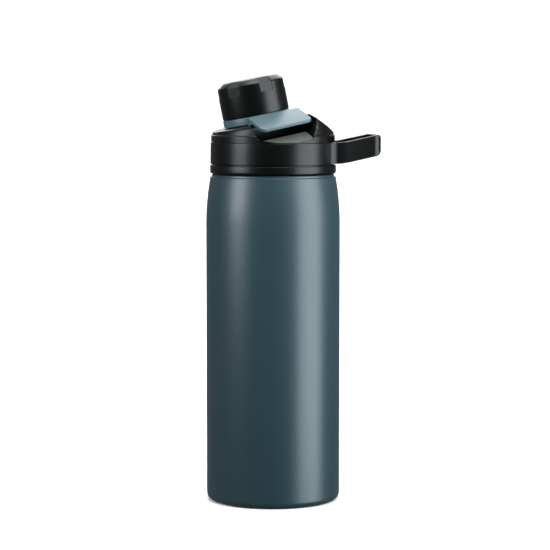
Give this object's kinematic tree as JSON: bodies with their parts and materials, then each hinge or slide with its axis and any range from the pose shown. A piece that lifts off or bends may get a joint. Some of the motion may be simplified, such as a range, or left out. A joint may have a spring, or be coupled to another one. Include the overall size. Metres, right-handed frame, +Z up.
{
  "type": "water bottle",
  "caption": "Double-walled steel bottle with a screw-on lid, a side carry loop and a tethered screw cap that flips back over a leaning spout.",
  "frame": {"origin": "centre of the base on the bottle's axis, where it rests", "axes": "+Z up along the bottle, +X towards the carry loop, the cap and spout lean towards -X"},
  "size_m": [0.0943, 0.073, 0.233],
  "materials": {
    "powder_coat": "satin slate-blue powder coat with a fine grain",
    "bare_steel": "brushed stainless steel",
    "getter_alloy": "sintered metal puck",
    "solder_glass": "glassy solder bead",
    "black_plastic": "satin black moulded plastic",
    "cap_insert_plastic": "fine-textured black moulded plastic",
    "blue_plastic": "satin blue-grey moulded plastic",
    "grey_silicone": "matt silicone",
    "magnet_nickel": "nickel plate",
    "pin_steel": "drawn stainless wire"
  },
  "bodies": {
    "bottle": {"outer_wall": "powder_coat", "inner_vessel": "bare_steel", "outer_bottom": "bare_steel", "getter": "getter_alloy", "vacuum_seal": "solder_glass", "base_cover": "powder_coat"},
    "gasket_carrier": {"lid_gasket": "grey_silicone"},
    "lid": {"lid_core": "black_plastic", "lower_collar": "black_plastic", "handle_band": "black_plastic", "drinking_spout": "black_plastic", "spout_seal": "grey_silicone", "lid_dome": "black_plastic", "dock_magnet": "magnet_nickel", "dock_cover": "black_plastic", "hinge_pin": "pin_steel"},
    "tether": {"tether": "blue_plastic", "tab_magnet": "magnet_nickel", "tab_magnet_cover": "blue_plastic"},
    "cap_ring": {"cap_retainer": "blue_plastic"},
    "cap": {"cap_shell": "black_plastic", "cap_top_disc": "cap_insert_plastic", "cap_liner": "black_plastic", "cap_seal": "grey_silicone"}
  },
  "joints": [
    {"name": "lid_lift", "type": "slide", "parent": "bottle", "child": "gasket_carrier", "axis": [0, 0, 1], "range_m": [0, 0.0101]},
    {"name": "lid_turn", "type": "hinge", "parent": "gasket_carrier", "child": "lid", "pos_m": [0, 0, 0.19], "axis": [0, 0, 1], "range_deg": [0, 900]},
    {"name": "cap_flip", "type": "hinge", "parent": "lid", "child": "tether", "pos_m": [-0.00191, -0.01734, 0.20964], "axis": [0.9101, 0.3746, 0.1769], "range_deg": [0, 76]},
    {"name": "cap_lift", "type": "slide", "parent": "tether", "child": "cap_ring", "axis": [-0.1908, 0, 0.9816], "range_m": [0, 0.00205]},
    {"name": "cap_turn", "type": "hinge", "parent": "cap_ring", "child": "cap", "pos_m": [-0.0093, 0, 0.21095], "axis": [-0.1908, 0, 0.9816], "range_deg": [0, 270]}
  ],
  "couplings": [
    {"joint": "lid_lift", "follows": "lid_turn", "m_per_rad": 0.00063662},
    {"joint": "cap_lift", "follows": "cap_turn", "m_per_rad": 0.00042972}
  ]
}
